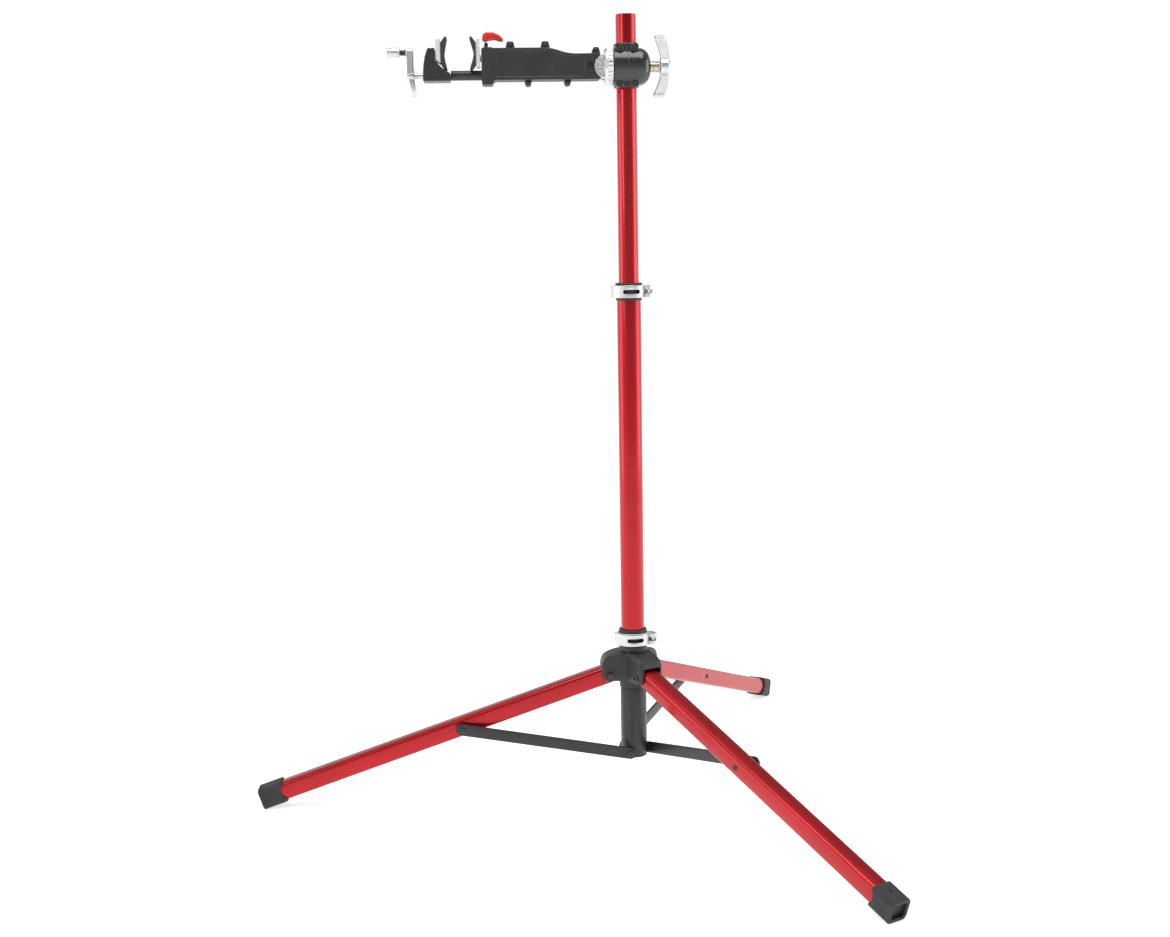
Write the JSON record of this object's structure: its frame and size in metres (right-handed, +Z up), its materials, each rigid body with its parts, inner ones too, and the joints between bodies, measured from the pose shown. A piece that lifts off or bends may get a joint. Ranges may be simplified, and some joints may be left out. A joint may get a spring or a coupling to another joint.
{
  "type": "bike repair stand",
  "caption": "Folding workshop stand that grips a bicycle in a crank-driven clamp on a telescoping mast with a sliding tripod base.",
  "frame": {"origin": "centre of the footprint on the floor, standing with the legs open; the mast's axis is 147.2 mm towards +X of it", "axes": "+Z up along the mast; the clamp arm and the first leg point to -X; +X is the knob side"},
  "size_m": [0.9448, 1.0892, 1.2585],
  "materials": {
    "red_anodised": "satin anodised",
    "red_plastic": "moulded gloss",
    "black_plastic": "fine-grained moulded",
    "black_alloy": "black satin coated",
    "black_steel": "black satin coated",
    "rubber": "matte",
    "silver_alloy": "polished",
    "steel": "bright",
    "gold_steel": "yellow zinc plated"
  },
  "bodies": {
    "mast": {"outer_tube": "red_anodised", "centre_post": "black_alloy", "post_plug": "black_plastic", "upper_bush": "black_plastic", "upper_collar": "silver_alloy", "upper_skewer": "steel"},
    "upper_cam": {"upper_lever": "silver_alloy"},
    "hub": {"hub_casting": "black_plastic", "lower_collar": "silver_alloy", "lower_skewer": "steel", "leg_pivot_bolt_1": "steel", "leg_pivot_bolt_2": "steel", "leg_pivot_bolt_3": "steel"},
    "lower_cam": {"lower_lever": "silver_alloy"},
    "leg_1": {"leg_tube_1": "red_anodised", "foot_cap_1": "rubber", "brace_leg_bolt_1": "steel"},
    "brace_arm_1": {"brace_1": "black_steel", "brace_post_bolt_1": "steel"},
    "leg_2": {"leg_tube_2": "red_anodised", "foot_cap_2": "rubber", "brace_leg_bolt_2": "steel"},
    "brace_arm_2": {"brace_2": "black_steel", "brace_post_bolt_2": "steel"},
    "leg_3": {"leg_tube_3": "red_anodised", "foot_cap_3": "rubber", "brace_leg_bolt_3": "steel"},
    "brace_arm_3": {"brace_3": "black_steel", "brace_post_bolt_3": "steel"},
    "guide": {"guide_bush": "black_plastic"},
    "upper": {"inner_tube": "red_anodised", "tube_plug": "black_plastic", "head_casting": "black_alloy", "head_screw_1": "steel", "head_screw_2": "steel"},
    "knob_set": {"knob": "silver_alloy", "knob_spacer": "gold_steel"},
    "ring": {"index_ring": "silver_alloy"},
    "draw": {"draw_shaft": "steel", "fold_pin": "steel"},
    "arm": {"arm_shell_front": "black_plastic", "arm_shell_back": "black_plastic", "arm_screw_1": "steel", "arm_screw_2": "steel", "arm_screw_3": "steel", "arm_screw_4": "steel", "arm_screw_5": "steel", "inner_jaw_plate": "silver_alloy", "inner_jaw_pad": "rubber"},
    "jaw": {"jaw_block": "black_alloy", "outer_jaw_plate": "silver_alloy", "outer_jaw_pad": "rubber", "jaw_rod": "black_steel"},
    "crank": {"crank_spindle": "steel", "crank_arm": "silver_alloy", "grip_pin": "black_steel"},
    "grip": {"crank_grip": "silver_alloy"},
    "release": {"red_lever": "red_plastic", "lever_stem": "black_plastic"}
  },
  "joints": [
    {"name": "hub_slide", "type": "slide", "parent": "mast", "child": "hub", "axis": [0, 0, 1], "range_m": [0, 0.4024]},
    {"name": "leg_fold_1", "type": "hinge", "parent": "hub", "child": "leg_1", "pos_m": [0.10819, 0, 0.209], "axis": [0, -1, 0], "range_deg": [0, 67.97]},
    {"name": "brace_fold_1", "type": "hinge", "parent": "leg_1", "child": "brace_arm_1", "pos_m": [-0.1368, 0, 0.12684], "axis": [0, -1, 0], "range_deg": [-138.13, 0]},
    {"name": "leg_fold_2", "type": "hinge", "parent": "hub", "child": "leg_2", "pos_m": [0.16669, -0.03377, 0.209], "axis": [0.866, 0.5, 0], "range_deg": [0, 67.97]},
    {"name": "brace_fold_2", "type": "hinge", "parent": "leg_2", "child": "brace_arm_2", "pos_m": [0.28918, -0.24594, 0.12684], "axis": [0.866, 0.5, 0], "range_deg": [-138.13, 0]},
    {"name": "leg_fold_3", "type": "hinge", "parent": "hub", "child": "leg_3", "pos_m": [0.16669, 0.03377, 0.209], "axis": [-0.866, 0.5, 0], "range_deg": [0, 67.97]},
    {"name": "brace_fold_3", "type": "hinge", "parent": "leg_3", "child": "brace_arm_3", "pos_m": [0.28918, 0.24594, 0.12684], "axis": [-0.866, 0.5, 0], "range_deg": [-138.13, 0]},
    {"name": "mast_slide", "type": "slide", "parent": "mast", "child": "guide", "axis": [0, 0, 1], "range_m": [-0.098, 0.545]},
    {"name": "mast_turn", "type": "hinge", "parent": "guide", "child": "upper", "pos_m": [0.14719, 0, 0.2], "axis": [0, 0, 1], "continuous": true},
    {"name": "upper_lever_turn", "type": "hinge", "parent": "mast", "child": "upper_cam", "pos_m": [0.17659, -0.0122, 0.832], "axis": [0, 0, 1], "range_deg": [0, 150]},
    {"name": "lower_lever_turn", "type": "hinge", "parent": "hub", "child": "lower_cam", "pos_m": [0.17839, -0.0122, 0.2675], "axis": [0, 0, 1], "range_deg": [0, 150]},
    {"name": "knob_turn", "type": "hinge", "parent": "upper", "child": "knob_set", "pos_m": [0.20519, 0, 1.179], "axis": [1, 0, 0], "continuous": true},
    {"name": "arm_roll", "type": "hinge", "parent": "upper", "child": "ring", "pos_m": [0.11919, 0, 1.179], "axis": [1, 0, 0], "continuous": true},
    {"name": "draw_slide", "type": "slide", "parent": "ring", "child": "draw", "axis": [-1, 0, 0], "range_m": [0, 0.038]},
    {"name": "arm_fold", "type": "hinge", "parent": "draw", "child": "arm", "pos_m": [0.11619, 0, 1.179], "axis": [0, -1, 0], "range_deg": [0, 90]},
    {"name": "jaw_slide", "type": "slide", "parent": "arm", "child": "jaw", "axis": [1, 0, 0], "range_m": [-0.0241, 0.0321]},
    {"name": "crank_turn", "type": "hinge", "parent": "jaw", "child": "crank", "pos_m": [-0.18681, 0, 1.1685], "axis": [1, 0, 0], "range_deg": [-1080, 1440]},
    {"name": "grip_spin", "type": "hinge", "parent": "crank", "child": "grip", "pos_m": [-0.21281, 0, 1.2036], "axis": [1, 0, 0], "continuous": true},
    {"name": "red_lever_turn", "type": "hinge", "parent": "arm", "child": "release", "pos_m": [-0.06981, 0, 1.214], "axis": [0, 0, 1], "range_deg": [-60, 60]}
  ],
  "couplings": [
    {"joint": "leg_fold_1", "follows": "hub_slide", "rad_per_m": 2.9476},
    {"joint": "brace_fold_1", "follows": "hub_slide", "rad_per_m": -5.9908},
    {"joint": "leg_fold_2", "follows": "hub_slide", "rad_per_m": 2.9476},
    {"joint": "brace_fold_2", "follows": "hub_slide", "rad_per_m": -5.9908},
    {"joint": "leg_fold_3", "follows": "hub_slide", "rad_per_m": 2.9476},
    {"joint": "brace_fold_3", "follows": "hub_slide", "rad_per_m": -5.9908},
    {"joint": "draw_slide", "follows": "arm_fold", "m_per_rad": 0.024191},
    {"joint": "jaw_slide", "follows": "crank_turn", "m_per_rad": 0.0012732}
  ]
}
